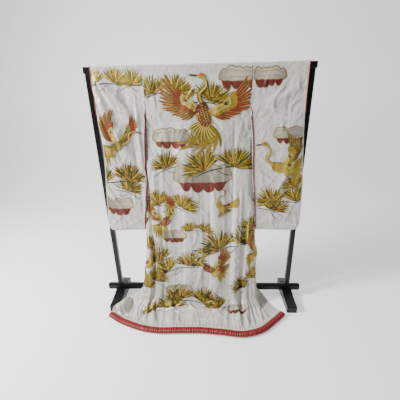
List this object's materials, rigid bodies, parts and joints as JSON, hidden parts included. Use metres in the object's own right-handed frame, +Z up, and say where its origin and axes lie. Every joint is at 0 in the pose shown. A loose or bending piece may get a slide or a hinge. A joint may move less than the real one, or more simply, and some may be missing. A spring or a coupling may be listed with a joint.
{
  "type": "uchikake wedding kimono on a kimono stand",
  "caption": "Wedding over-kimono with a padded hem roll, spread by its sleeves over a lacquered wooden stand, its train laid out on the floor.",
  "frame": {"origin": "on the floor under the middle of the whole display", "axes": "+Z up, +X to the right of someone facing the garment's back, +Y from the shown back side towards the stand's far side"},
  "size_m": [1.568, 0.5704, 1.7366],
  "materials": {
    "satin": "heavy off-white figured satin with gold and red-brown woven and embroidered motifs",
    "red_silk": "plain red silk, gathered over padding",
    "lacquer": "black lacquer, half gloss"
  },
  "bodies": {
    "root": {"body_left": "satin", "body_right": "satin", "collar": "satin", "crossbar": "lacquer", "cuff_edge_left": "red_silk", "cuff_edge_right": "red_silk", "foot_left": "lacquer", "foot_right": "lacquer", "hem_roll": "red_silk", "overlap_left": "satin", "overlap_right": "satin", "post_left": "lacquer", "post_right": "lacquer", "rail": "lacquer", "sleeve_edge_left": "red_silk", "sleeve_edge_right": "red_silk", "sleeve_left": "satin", "sleeve_right": "satin"}
  },
  "joints": []
}
